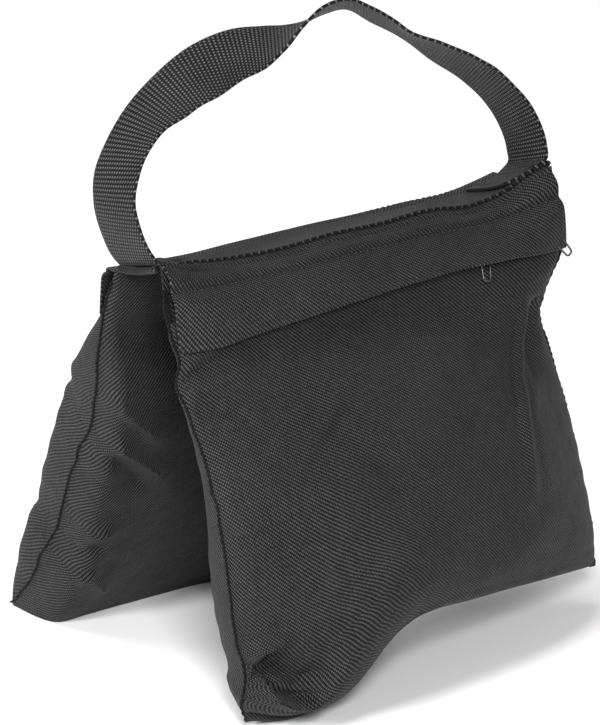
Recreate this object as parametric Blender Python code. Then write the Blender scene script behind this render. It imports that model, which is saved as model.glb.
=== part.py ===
"""A saddle sandbag: two filled pouches hung on a webbing strip, with a webbing handle over the strip.

Metres, +Z up. X runs along the strip. The front pouch is on the -Y side and the rear pouch on the +Y
side. The bag stands astride on its two pouches. The origin is the bottom centre of its box.
"""

import math

import bpy
from mathutils import Matrix, Vector

# ---------------------------------------------------------------- driving dimensions
BAG_LENGTH = 0.280  # along the strip
STRIP_HEIGHT = 0.252  # from the floor to the top of the centre panel
WEB_WIDTH = 0.038
WEB_THICK = 0.0018
FABRIC = 0.0010
LAYER_GAP = 0.0003  # between pieces that touch on the real bag

FOLD_REACH = 0.003  # from the strip's edge to the line that a pouch folds on
FOLD_DEPTH = 0.0005  # that line, below the top of the centre panel
TOP_SLOPE = math.radians(19)  # how far the top of a pouch leans out
ZIP_ZONE = 0.036  # the straight stretch at the top of a pouch, which holds the zip
CLOTH_START = 0.0025  # from the fold line to the first cloth of a pouch

ZIP_LINE = 0.0200  # from the fold line to the middle of the zip
ZIP_END_ROOM = 0.010  # from the end of the bag to the end of the tapes
PARTING = 0.0010  # between the two coils, where the slider's neck runs
COIL_WIDTH = 0.0024
COIL_HEIGHT = 0.0020
COIL_RISE = 0.0009  # the coil's underside above the pouch's middle surface
TAPE_WIDTH = 0.0120
TAPE_THICK = 0.0006
TAPE_RISE = 0.0012
STOP_LENGTH = 0.0030
FACING_EDGE = 0.0145  # the cloth above the zip ends this far from the fold line
POUCH_EDGE = 0.0255  # and the cloth below the zip starts here
SHELL_RISE = 0.0031  # outer face of the cloth beside the zip, above the pouch's middle surface

FLAP_LINE = 0.0120  # the flap's stitch line, from the fold line
FLAP_DROP = 0.0290  # from the stitch line to the flap's lower edge
FLAP_THICK = 0.0012
FLAP_STAND = 0.0125  # how far the flap stands off at its lower edge
FLAP_KNEE = (0.0040, 0.0098)  # past the stitch line, and how far it stands off there
FLAP_END_ROOM = 0.0015
HEADING_RISE = 0.0046  # outer face of the flap's sewn heading

SEAM_WIDTH = 0.0045
SEAM_THICK = 0.0006
SEAM_PROUD = 0.0015  # how far a side seam stands out of the end of the bag
SHELL_EDGE = 0.0018  # the cloth's rise where its two sides meet at a seam
INNER_TOP = 0.0026  # the inner side's rise at the fold line
INNER_ZONE_END = 0.0080  # and at the end of the zip zone
OUTER_FULLNESS = 0.036
INNER_FULLNESS = 0.030
FILL_CLEARANCE = 0.0020
FILL_START = 0.12  # share of the way down, past the zip zone, where the sand begins
FILL_END = 0.97  # and where it ends

SLIDER_LENGTH = 0.0105
SLIDER_WIDTH = 0.0095
PLATE_THICK = 0.0009
SLIDER_CLEARANCE = 0.0003
NECK_THICK = 0.0004
NECK_LENGTH = 0.0030
BRIDGE_HEIGHT = 0.0033
BRIDGE_WIDTH = 0.0012
BRIDGE_BAR = 0.0009
BRIDGE_SPAN = 0.0052  # between the middles of the bridge's two posts
PULL_LENGTH = 0.0300
PULL_WIDTH = 0.0072
PULL_THICK = 0.0013
PULL_RIM = 0.0013
PULL_TILT = math.radians(7)

TACK_MARGIN = 0.0020  # from a bar tack's ends to the edges of the webbing
TACK_WIDTH = 0.0024
TACK_THICK = 0.0007
TACK_PLACES = (0.006, 0.030)  # from each end of the strip
HANDLE_CLEARANCE = 0.0020  # between the end of the strip and the handle

# Where each pouch's middle surface runs below the zip zone, at five stations from its left end to its
# right end: how far out from the fold line it is at each share of the drop. LIFT is how far its lowest
# edge clears the floor at those stations.
DROP_SHARES = (0.25, 0.46, 0.71, 0.88, 1.0)
FRONT_RUN = (
    (0.034, 0.056, 0.071, 0.083, 0.083),
    (0.030, 0.046, 0.063, 0.076, 0.082),
    (0.026, 0.038, 0.053, 0.064, 0.070),
    (0.020, 0.027, 0.040, 0.048, 0.052),
    (0.008, 0.010, 0.028, 0.038, 0.041),
)
FRONT_LIFT = (0.0, 0.001, 0.032, 0.027, 0.022)
REAR_RUN = (
    (0.020, 0.040, 0.066, 0.088, 0.110),
    (0.022, 0.041, 0.065, 0.086, 0.108),
    (0.024, 0.042, 0.064, 0.084, 0.106),
    (0.024, 0.042, 0.064, 0.083, 0.103),
    (0.024, 0.042, 0.064, 0.082, 0.100),
)
REAR_LIFT = (0.001, 0.0, 0.0, 0.0, 0.001)

# The handle's centre line: along the strip from its middle as a share of half the strip, then height
# above the strip.
HANDLE_ROUTE = (
    (-1.0, 0.000),
    (-1.085, 0.036),
    (-1.105, 0.062),
    (-1.02, 0.086),
    (-0.84, 0.103),
    (-0.62, 0.113),
    (-0.40, 0.119),
    (-0.17, 0.125),
    (0.06, 0.130),
    (0.34, 0.106),
    (0.60, 0.080),
    (0.80, 0.055),
    (0.955, 0.028),
    (1.0, 0.013),
    (1.0, 0.000),
)

# Where the two sliders of each zip stand, from the end of the zip that they are parked at, and how far
# each pull has swung from straight down towards the right. The front zip is parked at its right end and
# the rear zip at its left end.
FRONT_SLIDERS = ((0.0460, math.radians(-12)), (0.0085, math.radians(30)))
REAR_SLIDERS = ((0.0390, math.radians(8)), (0.0085, math.radians(-6)))

CLOTH_COLUMNS = 20
CLOTH_ROWS = 13
STRIP_COLUMNS = 10
HANDLE_STEPS = 52
SMOOTH_BELOW = math.radians(35)  # edges that bend less than this are drawn smooth


# ---------------------------------------------------------------- scene, materials and solids
def clear_scene():
    for obj in list(bpy.data.objects):
        bpy.data.objects.remove(obj)


def make_material(name, colour, roughness, metallic=0.0):
    material = bpy.data.materials.new(name)
    material.use_nodes = True
    shader = material.node_tree.nodes["Principled BSDF"]
    shader.inputs["Base Color"].default_value = (*colour, 1.0)
    shader.inputs["Roughness"].default_value = roughness
    shader.inputs["Metallic"].default_value = metallic
    material.diffuse_color = (*colour, 1.0)
    return material


def make_materials():
    return {
        "cloth": make_material("black_oxford_cloth", (0.035, 0.035, 0.036), 0.75),
        "webbing": make_material("black_webbing", (0.030, 0.030, 0.031), 0.70),
        "thread": make_material("black_thread", (0.045, 0.045, 0.046), 0.60),
        "tape": make_material("zip_tape", (0.028, 0.028, 0.029), 0.80),
        "coil": make_material("nylon_coil", (0.025, 0.025, 0.026), 0.40),
        "slider": make_material("blackened_metal", (0.060, 0.060, 0.062), 0.35, 0.9),
        "fill": make_material("sand_liner", (0.45, 0.38, 0.28), 0.90),
    }


def new_object(name, points, faces, material, parent):
    mesh = bpy.data.meshes.new(name)
    mesh.from_pydata([tuple(p) for p in points], [], faces)
    mesh.update()
    mesh.shade_smooth()
    mesh.set_sharp_from_angle(angle=SMOOTH_BELOW)
    mesh.materials.append(material)
    obj = bpy.data.objects.new(name, mesh)
    bpy.context.scene.collection.objects.link(obj)
    obj.parent = parent
    return obj


def placed(points, origin):
    """The points again, measured from an origin."""
    return [Vector(p) - Vector(origin) for p in points]


def sheet_solid(name, upper, lower, material, parent, origin=(0, 0, 0)):
    """The solid between two grids of points of one size, row by row, with walls round their rims."""
    rows, columns = len(upper), len(upper[0])
    count = rows * columns
    points = [p for row in upper for p in row] + [p for row in lower for p in row]

    def at(row, column, layer):
        return layer * count + row * columns + column

    faces = []
    for r in range(rows - 1):
        for c in range(columns - 1):
            faces.append((at(r, c, 0), at(r + 1, c, 0), at(r + 1, c + 1, 0), at(r, c + 1, 0)))
            faces.append((at(r, c, 1), at(r, c + 1, 1), at(r + 1, c + 1, 1), at(r + 1, c, 1)))
    for r in range(rows - 1):
        faces.append((at(r, 0, 0), at(r, 0, 1), at(r + 1, 0, 1), at(r + 1, 0, 0)))
        last = columns - 1
        faces.append((at(r, last, 0), at(r + 1, last, 0), at(r + 1, last, 1), at(r, last, 1)))
    for c in range(columns - 1):
        faces.append((at(0, c, 0), at(0, c + 1, 0), at(0, c + 1, 1), at(0, c, 1)))
        last = rows - 1
        faces.append((at(last, c, 0), at(last, c, 1), at(last, c + 1, 1), at(last, c + 1, 0)))
    if signed_volume(points, faces) < 0:
        faces = [face[::-1] for face in faces]
    obj = new_object(name, placed(points, origin), faces, material, parent)
    obj.location = Vector(origin) - parent_place(parent)
    return obj


def signed_volume(points, faces):
    total = 0.0
    for face in faces:
        first = Vector(points[face[0]])
        for a, b in zip(face[1:-1], face[2:]):
            total += first.dot(Vector(points[a]).cross(Vector(points[b])))
    return total


def ring_solid(name, outline, hole, low, high, to_world, material, parent, origin):
    """A ring between two heights. Its outline and its hole are loops of as many points in one plane."""
    points, faces = [], []
    n = len(outline)
    for loop in (outline, hole):
        for height in (low, high):
            points += [to_world(u, v, height) for u, v in loop]
    for i in range(n):
        j = (i + 1) % n
        faces.append((i, j, n + j, n + i))
        faces.append((2 * n + j, 2 * n + i, 3 * n + i, 3 * n + j))
        faces.append((j, i, 2 * n + i, 2 * n + j))
        faces.append((n + i, n + j, 3 * n + j, 3 * n + i))
    if signed_volume(points, faces) < 0:
        faces = [face[::-1] for face in faces]
    obj = new_object(name, placed(points, origin), faces, material, parent)
    obj.location = Vector(origin) - parent_place(parent)
    return obj


def parent_place(parent):
    """Where a parent is in the bag's own frame, before the bag is set on its origin."""
    place = Vector((0, 0, 0))
    while parent is not None and parent.parent is not None:
        place += parent.location
        parent = parent.parent
    return place


def make_pivot(name, place, parent):
    pivot = bpy.data.objects.new(name, None)
    bpy.context.scene.collection.objects.link(pivot)
    pivot.empty_display_size = 0.01
    pivot.parent = parent
    pivot.location = Vector(place) - parent_place(parent)
    return pivot


# ---------------------------------------------------------------- the shape of a pouch
def through(points, share, leave=None):
    """A point on the smooth curve through the points, at a share of the way along them.

    leave is the direction in which the curve sets off, if it isn't towards the second point.
    """
    spans = len(points) - 1
    k = min(int(share * spans), spans - 1)
    u = share * spans - k
    a, b = points[k], points[k + 1]
    after = points[k + 2] if k + 2 < len(points) else 2 * b - a
    if k:
        before = points[k - 1]
    elif leave is None:
        before = 2 * a - b
    else:
        before = b - 2 * leave * (b - a).length
    return 0.5 * (
        2 * a
        + (b - before) * u
        + (2 * before - 5 * a + 4 * b - after) * u**2
        + (3 * a - before - 3 * b + after) * u**3
    )


def at_station(values, along):
    """A value between the stations' values, at a place from -1 to 1 along the bag."""
    return through([Vector((value, 0)) for value in values], (along + 1) / 2).x


class Pouch:
    """One pouch. A place on it is: x along the bag, `way` down it and `rise` out of its middle surface.

    way runs from 0 at the fold line to 1 at the end of the zip zone, and on to 2 at the bottom edge.
    """

    def __init__(self, name, side, run, lift):
        self.name, self.side, self.run, self.lift = name, side, run, lift
        self.fold_y = side * (WEB_WIDTH / 2 + FOLD_REACH)
        self.fold_z = STRIP_HEIGHT - FOLD_DEPTH
        self.zone_z = self.fold_z - ZIP_ZONE * math.cos(TOP_SLOPE)

    def middle_line(self, along):
        """The points, out and up, that the middle surface passes below the zip zone."""
        points = [Vector((ZIP_ZONE * math.sin(TOP_SLOPE), self.zone_z))]
        lift = at_station(self.lift, along)
        for k, share in enumerate(DROP_SHARES):
            out = at_station([row[k] for row in self.run], along)
            points.append(Vector((out, self.zone_z - share * (self.zone_z - lift))))
        return points

    def middle(self, x, way):
        if way <= 1:
            length = way * ZIP_ZONE
            return Vector((length * math.sin(TOP_SLOPE), self.fold_z - length * math.cos(TOP_SLOPE)))
        down_slope = Vector((math.sin(TOP_SLOPE), -math.cos(TOP_SLOPE)))
        return through(self.middle_line(2 * x / BAG_LENGTH), way - 1, down_slope)

    def outward(self, x, way):
        """The unit vector out of the middle surface, as (out, up)."""
        step = 0.01
        low, high = max(0.0, way - step), min(2.0, way + step)
        along = self.middle(x, high) - self.middle(x, low)
        return Vector((-along.y, along.x)).normalized()

    def point(self, x, way, rise, floor=0.0):
        place = self.middle(x, way) + self.outward(x, way) * rise
        return Vector((x, self.fold_y + self.side * place.x, max(place.y, floor)))

    def zone_point(self, x, length, rise):
        """A point on or over the zip zone's plane, by its distance from the fold line."""
        out = length * math.sin(TOP_SLOPE) + rise * math.cos(TOP_SLOPE)
        up = rise * math.sin(TOP_SLOPE) - length * math.cos(TOP_SLOPE)
        return Vector((x, self.fold_y + self.side * out, self.fold_z + up))


def fullness(x, way, zone_start, zone_end, full):
    """How far a panel bellies out of the middle surface, closing to SHELL_EDGE at seams and bottom."""
    end = abs(2 * x / BAG_LENGTH)
    if way <= 1:
        rise, squareness = zone_start + (zone_end - zone_start) * way, 40.0
    else:
        down = way - 1
        belly = down**0.9 * math.sqrt(max(0.0, 1 - down**2.6)) / 0.565
        rise = zone_end * (1 - down**3) + full * belly
        squareness = 4.4 + 35.6 * math.exp(-30 * down)
    return SHELL_EDGE + (rise - SHELL_EDGE) * max(0.0, 1 - end**squareness) ** 0.6


def outer_rise(x, way):
    return fullness(x, way, SHELL_RISE, SHELL_RISE, OUTER_FULLNESS)


def inner_rise(x, way):
    return -fullness(x, way, INNER_TOP, INNER_ZONE_END, INNER_FULLNESS)


def spread(low, high, count):
    return [low + (high - low) * i / (count - 1) for i in range(count)]


def cloth_columns():
    """Places along the bag, closer together towards the side seams."""
    return [BAG_LENGTH / 2 * math.sin(math.pi / 2 * s) for s in spread(-1, 1, CLOTH_COLUMNS)]


def lower_ways():
    """Places down a pouch below the zip zone, closer together towards the bottom."""
    return [2 - (1 - s) ** 1.4 for s in spread(0, 1, CLOTH_ROWS)]


# ---------------------------------------------------------------- the pieces of a pouch
def make_cloth(pouch, material, parent):
    """The pouch's cloth, from below the zip, down, round the bottom fold and up the inner side."""
    xs = cloth_columns()
    down = [(w, outer_rise, -FABRIC) for w in (POUCH_EDGE / ZIP_ZONE, *lower_ways())]
    up = [(w, inner_rise, FABRIC) for w in (*reversed(lower_ways()), CLOTH_START / ZIP_ZONE)]
    inside_end = 2 - 2 * FABRIC / STRIP_HEIGHT
    outer = [[pouch.point(x, w, rise(x, w)) for x in xs] for w, rise, _ in down + up]
    inner = [
        [pouch.point(x, min(w, inside_end), rise(x, w) + inward, FABRIC) for x in xs]
        for w, rise, inward in down + up
    ]
    name = pouch.name + "_pouch_cloth"
    return sheet_solid(name, outer, inner, material, parent, parent_place(parent))


def make_fill(pouch, material, parent):
    """The liner bag of sand, which fills the pouch inside its cloth."""
    step = FABRIC + FILL_CLEARANCE
    xs = cloth_columns()[2:-2]
    outer, inner = [], []
    for way in lower_ways():
        if not 1 + FILL_START <= way <= 1 + FILL_END:
            continue
        highs = [max(outer_rise(x, way) - step, LAYER_GAP) for x in xs]
        lows = [min(inner_rise(x, way) + step, -LAYER_GAP) for x in xs]
        outer.append([pouch.point(x, way, rise, step) for x, rise in zip(xs, highs)])
        inner.append([pouch.point(x, way, rise, step) for x, rise in zip(xs, lows)])
    name = pouch.name + "_sand_fill"
    return sheet_solid(name, outer, inner, material, parent, parent_place(parent))


def make_seam(pouch, end, material, parent):
    """The sewn edge at one end, between the two sides of the cloth and a little proud of them."""
    inside = end * (BAG_LENGTH / 2 + SEAM_PROUD - SEAM_WIDTH)
    outside = end * (BAG_LENGTH / 2 + SEAM_PROUD)
    half = SEAM_THICK / 2
    lowest = FABRIC + LAYER_GAP
    last = 2 - 2 * (lowest + half) / STRIP_HEIGHT

    def layer(rise, floor):
        rows = []
        for w in (CLOTH_START / ZIP_ZONE, *lower_ways()):
            row = []
            for x in (inside, outside):
                held = max(-BAG_LENGTH / 2, min(BAG_LENGTH / 2, x))
                place = pouch.point(held, min(w, last), rise, floor)
                row.append(Vector((x, place.y, place.z)))
            rows.append(row)
        return rows

    name = f"{pouch.name}_{'right' if end > 0 else 'left'}_seam"
    upper, lower = layer(half, lowest + 2 * half), layer(-half, lowest)
    return sheet_solid(name, upper, lower, material, parent, parent_place(parent))


def make_zone_strip(pouch, name, lengths, rises, xs, material, parent):
    """A straight strip in the zip zone: its two distances from the fold line, and its two rises."""
    low, high = rises
    upper = [[pouch.zone_point(x, d, high) for x in xs] for d in lengths]
    lower = [[pouch.zone_point(x, d, low) for x in xs] for d in lengths]
    return sheet_solid(f"{pouch.name}_{name}", upper, lower, material, parent, parent_place(parent))


def zip_reach():
    """From the middle of the bag to the end of a zip."""
    return BAG_LENGTH / 2 - ZIP_END_ROOM


def make_zip(pouch, materials, parent):
    reach = zip_reach()
    xs = spread(-reach, reach, STRIP_COLUMNS)
    coil_rises = (COIL_RISE, COIL_RISE + COIL_HEIGHT)
    tape_rises = (TAPE_RISE, TAPE_RISE + TAPE_THICK)
    for name, away in (("upper", -1), ("lower", 1)):
        edge = ZIP_LINE + away * PARTING / 2
        coil = sorted((edge, edge + away * COIL_WIDTH))
        make_zone_strip(pouch, f"zip_{name}_coil", coil, coil_rises, xs, materials["coil"], parent)
        edge += away * (COIL_WIDTH + LAYER_GAP)
        tape = sorted((edge, edge + away * TAPE_WIDTH))
        make_zone_strip(pouch, f"zip_{name}_tape", tape, tape_rises, xs, materials["tape"], parent)
    half = PARTING / 2 + COIL_WIDTH
    lengths = (ZIP_LINE - half, ZIP_LINE + half)
    for name, end in (("left", -1), ("right", 1)):
        near = reach + LAYER_GAP
        ends = sorted((end * near, end * (near + STOP_LENGTH)))
        make_zone_strip(pouch, f"zip_{name}_stop", lengths, coil_rises, ends, materials["slider"], parent)


def make_shell(pouch, materials, parent):
    cloth = materials["cloth"]
    reach = BAG_LENGTH / 2
    make_cloth(pouch, cloth, parent)
    xs = spread(-reach, reach, STRIP_COLUMNS)
    facing = (CLOTH_START, FACING_EDGE)
    make_zone_strip(pouch, "zip_facing", facing, (SHELL_RISE - FABRIC, SHELL_RISE), xs, cloth, parent)
    xs = spread(FLAP_END_ROOM - reach, reach - FLAP_END_ROOM, STRIP_COLUMNS)
    heading = (CLOTH_START, FLAP_LINE - 2 * LAYER_GAP)
    rises = (HEADING_RISE - FLAP_THICK, HEADING_RISE)
    make_zone_strip(pouch, "flap_heading", heading, rises, xs, cloth, parent)
    for end in (-1, 1):
        make_seam(pouch, end, materials["thread"], parent)
    make_fill(pouch, materials["fill"], parent)


def make_flap(pouch, material, parent):
    """The storm flap over the zip. It turns on its stitch line, where its pivot is."""
    hinge = pouch.zone_point(0, FLAP_LINE, HEADING_RISE)
    pivot = make_pivot(pouch.name + "_flap_pivot", hinge, parent)
    knee_length, knee_rise = FLAP_KNEE
    path = (
        (FLAP_LINE + 2 * LAYER_GAP, HEADING_RISE),
        (FLAP_LINE + knee_length, knee_rise),
        (FLAP_LINE + FLAP_DROP, FLAP_STAND),
    )
    reach = BAG_LENGTH / 2 - FLAP_END_ROOM
    xs = spread(-reach, reach, STRIP_COLUMNS)
    upper = [[pouch.zone_point(x, d, rise) for x in xs] for d, rise in path]
    lower = [[pouch.zone_point(x, d, rise - FLAP_THICK) for x in xs] for d, rise in path]
    sheet_solid(pouch.name + "_flap", upper, lower, material, pivot, hinge)


def make_slider(pouch, index, x, material, parent):
    """A slider: a plate over the coils and one under them, a neck in the parting, and a bridge on top."""
    top = COIL_RISE + COIL_HEIGHT + SLIDER_CLEARANCE
    under = COIL_RISE - SLIDER_CLEARANCE
    place = pouch.zone_point(x, ZIP_LINE, top)
    name = f"{pouch.name}_slider_{index}"
    pivot = make_pivot(name + "_pivot", place, parent)
    half_x, half_d = SLIDER_LENGTH / 2, SLIDER_WIDTH / 2
    post, bar_d = BRIDGE_SPAN / 2, BRIDGE_WIDTH / 2
    roof = top + PLATE_THICK + BRIDGE_HEIGHT
    lap = PLATE_THICK / 3

    def block(label, x_low, x_high, half, low, high):
        xs, ds = (x + x_low, x + x_high), (ZIP_LINE - half, ZIP_LINE + half)
        upper = [[pouch.zone_point(px, d, high) for px in xs] for d in ds]
        lower = [[pouch.zone_point(px, d, low) for px in xs] for d in ds]
        return sheet_solid(label, upper, lower, material, pivot, place)

    body = block(name, -half_x, half_x, half_d, top, top + PLATE_THICK)
    pieces = [
        ("under_plate", -half_x, half_x, half_d, under - PLATE_THICK, under),
        ("neck", -NECK_LENGTH / 2, NECK_LENGTH / 2, NECK_THICK / 2, under - lap, top + lap),
        ("left_post", -post - BRIDGE_BAR / 2, -post + BRIDGE_BAR / 2, bar_d, top + lap, roof),
        ("right_post", post - BRIDGE_BAR / 2, post + BRIDGE_BAR / 2, bar_d, top + lap, roof),
        ("bridge_roof", -post, post, bar_d - lap / 2, roof - BRIDGE_BAR, roof - lap / 2),
    ]
    for label, x_low, x_high, half, low, high in pieces:
        piece = block(f"{name}_{label}", x_low, x_high, half, low, high)
        piece.hide_render = True
        piece.display_type = "WIRE"
        join = body.modifiers.new(label, "BOOLEAN")
        join.operation = "UNION"
        join.object = piece
    return pivot, roof


def stadium(length, half_width, start, corner_steps=6):
    """A loop with round ends, from start to start plus length along v, counter-clockwise."""
    loop = []
    for centre, turn in ((start + length - half_width, 0.0), (start + half_width, math.pi)):
        for i in range(corner_steps + 1):
            angle = turn + math.pi * i / corner_steps
            loop.append((half_width * math.cos(angle), centre + half_width * math.sin(angle)))
    return loop


def make_pull(pouch, index, x, swing, roof, material, parent):
    """The ring that hangs on one post of a slider's bridge, and swings round it in its own plane."""
    side = 1 if swing > 0 else -1
    eye_rise = roof - BRIDGE_BAR - (BRIDGE_HEIGHT - BRIDGE_BAR) / 2
    hinge = pouch.zone_point(x + side * BRIDGE_SPAN / 2, ZIP_LINE, eye_rise)
    name = f"{pouch.name}_pull_{index}"
    pivot = make_pivot(name + "_pivot", hinge, parent)
    lean = TOP_SLOPE + PULL_TILT
    down = Vector((0, pouch.side * math.sin(lean), -math.cos(lean)))
    outward = Vector((0, pouch.side * math.cos(lean), math.sin(lean)))
    along = down * math.cos(swing) + Vector((math.sin(swing), 0, 0))
    across = Vector((math.cos(swing), 0, 0)) - down * math.sin(swing)

    def to_world(u, v, w):
        return hinge + across * u + along * v + outward * w

    start = -(PULL_RIM + BRIDGE_WIDTH / 2 + 2 * SLIDER_CLEARANCE)
    outline = stadium(PULL_LENGTH, PULL_WIDTH / 2, start)
    hole = stadium(PULL_LENGTH - 2 * PULL_RIM, PULL_WIDTH / 2 - PULL_RIM, start + PULL_RIM)
    half = PULL_THICK / 2
    ring_solid(name, outline, hole, -half, half, to_world, material, pivot, hinge)


def make_pouch(pouch, sliders, materials, root):
    fold = (0, pouch.fold_y, pouch.fold_z)
    pivot = make_pivot(pouch.name + "_pouch_pivot", fold, root)
    make_shell(pouch, materials, pivot)
    make_zip(pouch, materials, pivot)
    make_flap(pouch, materials["cloth"], pivot)
    for index, (from_end, swing) in enumerate(sliders, 1):
        x = -pouch.side * (zip_reach() - from_end)
        slider, roof = make_slider(pouch, index, x, materials["slider"], pivot)
        make_pull(pouch, index, x, swing, roof, materials["slider"], slider)


# ---------------------------------------------------------------- the strip and the handle
def make_flat(name, xs, half_y, low, high, material, root):
    upper = [[Vector((x, y, high)) for x in xs] for y in (-half_y, half_y)]
    lower = [[Vector((x, y, low)) for x in xs] for y in (-half_y, half_y)]
    return sheet_solid(name, upper, lower, material, root)


def make_strip(materials, root):
    half_x, half_y = BAG_LENGTH / 2, WEB_WIDTH / 2
    panel_low = STRIP_HEIGHT - FABRIC
    ends = (-half_x, half_x)
    make_flat("centre_panel", ends, half_y, panel_low, STRIP_HEIGHT, materials["cloth"], root)
    web_low = STRIP_HEIGHT + LAYER_GAP
    web_high = web_low + WEB_THICK
    make_flat("strip_webbing", ends, half_y, web_low, web_high, materials["webbing"], root)
    low = web_high + LAYER_GAP
    high = low + TACK_THICK
    half_tack = half_y - TACK_MARGIN
    for label, end in (("left", -1), ("right", 1)):
        for number, place in enumerate(TACK_PLACES, 1):
            x = end * (half_x - place)
            xs = (x - TACK_WIDTH / 2, x + TACK_WIDTH / 2)
            name = f"{label}_bar_tack_{number}"
            make_flat(name, xs, half_tack, low, high, materials["thread"], root)


def make_handle(material, root):
    """The webbing loop, which turns on the line between its two sewn ends."""
    base = STRIP_HEIGHT + LAYER_GAP + WEB_THICK
    pivot = make_pivot("handle_pivot", (0, 0, base), root)
    half = BAG_LENGTH / 2 + HANDLE_CLEARANCE + WEB_THICK / 2
    route = [Vector((share * half, base + height)) for share, height in HANDLE_ROUTE]
    upper, lower = [], []
    for share in spread(0, 1, HANDLE_STEPS + 1):
        step = 0.5 / HANDLE_STEPS
        centre = through(route, share)
        before, after = through(route, max(0, share - step)), through(route, min(1, share + step))
        along = (after - before).normalized()
        across = Vector((-along.y, along.x)) * WEB_THICK / 2
        for rows, place in ((upper, centre + across), (lower, centre - across)):
            rows.append([Vector((place.x, y, place.y)) for y in (-WEB_WIDTH / 2, WEB_WIDTH / 2)])
    sheet_solid("handle_webbing", upper, lower, material, pivot, (0, 0, base))


# ---------------------------------------------------------------- the whole bag
def stand_on_origin(root):
    """Moves the bag so that the bottom centre of its box is the origin."""
    bpy.context.view_layer.update()
    corners = []
    for obj in bpy.data.objects:
        if obj.type == "MESH" and not obj.hide_render:
            corners += [obj.matrix_world @ v.co for v in obj.data.vertices]
    low = [min(c[k] for c in corners) for k in range(3)]
    high = [max(c[k] for c in corners) for k in range(3)]
    shift = Vector((-(low[0] + high[0]) / 2, -(low[1] + high[1]) / 2, -low[2]))
    root.matrix_world = Matrix.Translation(shift)


def main():
    clear_scene()
    materials = make_materials()
    root = make_pivot("bag", (0, 0, 0), None)
    make_strip(materials, root)
    make_handle(materials["webbing"], root)
    make_pouch(Pouch("front", -1, FRONT_RUN, FRONT_LIFT), FRONT_SLIDERS, materials, root)
    make_pouch(Pouch("rear", 1, REAR_RUN, REAR_LIFT), REAR_SLIDERS, materials, root)
    stand_on_origin(root)


main()
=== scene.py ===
"""A saddle sandbag of black cloth: two zipped pouches of sand on a webbing strip, with a webbing handle."""

import math
from functools import partial

import bmesh
import bpy
import numpy as np
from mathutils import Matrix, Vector


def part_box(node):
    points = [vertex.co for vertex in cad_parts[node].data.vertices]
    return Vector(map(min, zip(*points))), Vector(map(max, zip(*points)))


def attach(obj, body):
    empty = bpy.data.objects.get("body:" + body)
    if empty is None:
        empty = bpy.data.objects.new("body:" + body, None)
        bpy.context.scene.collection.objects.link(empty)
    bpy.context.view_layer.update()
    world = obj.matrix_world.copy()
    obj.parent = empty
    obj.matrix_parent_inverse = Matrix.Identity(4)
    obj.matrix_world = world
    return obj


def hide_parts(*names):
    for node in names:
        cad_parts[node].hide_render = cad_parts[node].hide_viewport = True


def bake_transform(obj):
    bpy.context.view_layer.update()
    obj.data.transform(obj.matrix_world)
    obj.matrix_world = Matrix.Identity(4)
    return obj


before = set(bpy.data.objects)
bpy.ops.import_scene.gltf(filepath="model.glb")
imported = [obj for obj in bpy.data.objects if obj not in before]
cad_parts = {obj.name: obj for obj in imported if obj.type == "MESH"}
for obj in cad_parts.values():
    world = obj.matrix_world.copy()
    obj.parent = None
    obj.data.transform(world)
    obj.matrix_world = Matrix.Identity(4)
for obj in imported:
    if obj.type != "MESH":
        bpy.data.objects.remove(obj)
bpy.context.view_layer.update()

# ---------------------------------------------------------------- studio
# The bag stands on a pale floor in a white room. Two small soft lamps, one before it and one at its left
# end, rake over its folds. A wide lamp hangs above, and a faint one stands on the right.
panel_low, panel_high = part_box("centre_panel")
middle = np.array([(panel_low.x + panel_high.x) / 2, (panel_low.y + panel_high.y) / 2, 0.0])
half_bag = (panel_high.x - panel_low.x) / 2
half_strip = (panel_high.y - panel_low.y) / 2
strip_top = panel_high.z

scene = bpy.context.scene
scene.view_settings.view_transform = "Standard"
scene.view_settings.look = "None"

camera_turn, camera_lift, camera_distance = math.radians(36), math.radians(21), 5.0
level = math.cos(camera_lift)
towards_camera = Vector(
    (-math.sin(camera_turn) * level, -math.cos(camera_turn) * level, math.sin(camera_lift))
)
camera_right = Vector((math.cos(camera_turn), -math.sin(camera_turn), 0))
aim = Vector(middle) - 0.0208 * camera_right + Vector((0, 0, 0.163))
camera_data = bpy.data.cameras.new("camera")
camera_data.sensor_fit = "VERTICAL"
camera_data.sensor_height = 24
camera_data.lens = 284.7
camera_data.clip_end = 50
camera = bpy.data.objects.new("camera", camera_data)
camera.location = aim + camera_distance * towards_camera
camera.rotation_euler = (-towards_camera).to_track_quat("-Z", "Y").to_euler()
scene.collection.objects.link(camera)
scene.camera = camera

world = bpy.data.worlds.new("white_room")
world.use_nodes = True
world.node_tree.nodes["Background"].inputs["Color"].default_value = (1.0, 1.0, 1.0, 1)
world.node_tree.nodes["Background"].inputs["Strength"].default_value = 0.24
scene.world = world


def hang_lamp(name, place, size, power):
    data = bpy.data.lights.new(name, "AREA")
    data.shape = "RECTANGLE"
    data.size, data.size_y = size
    data.energy = power
    lamp = bpy.data.objects.new(name, data)
    lamp.location = Vector(place)
    aim_down = Vector((0, 0, 0.15)) - Vector(place)
    lamp.rotation_euler = aim_down.to_track_quat("-Z", "Y").to_euler()
    scene.collection.objects.link(lamp)


hang_lamp("key_lamp", (-1.15, -1.95, 1.45), (0.6, 0.6), 66)
hang_lamp("side_lamp", (-2.3, -0.35, 1.3), (0.6, 0.6), 60)
hang_lamp("top_lamp", (-0.2, 0.5, 2.5), (1.6, 1.2), 52)
hang_lamp("right_lamp", (2.2, -1.2, 1.0), (0.8, 1.2), 3)


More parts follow.
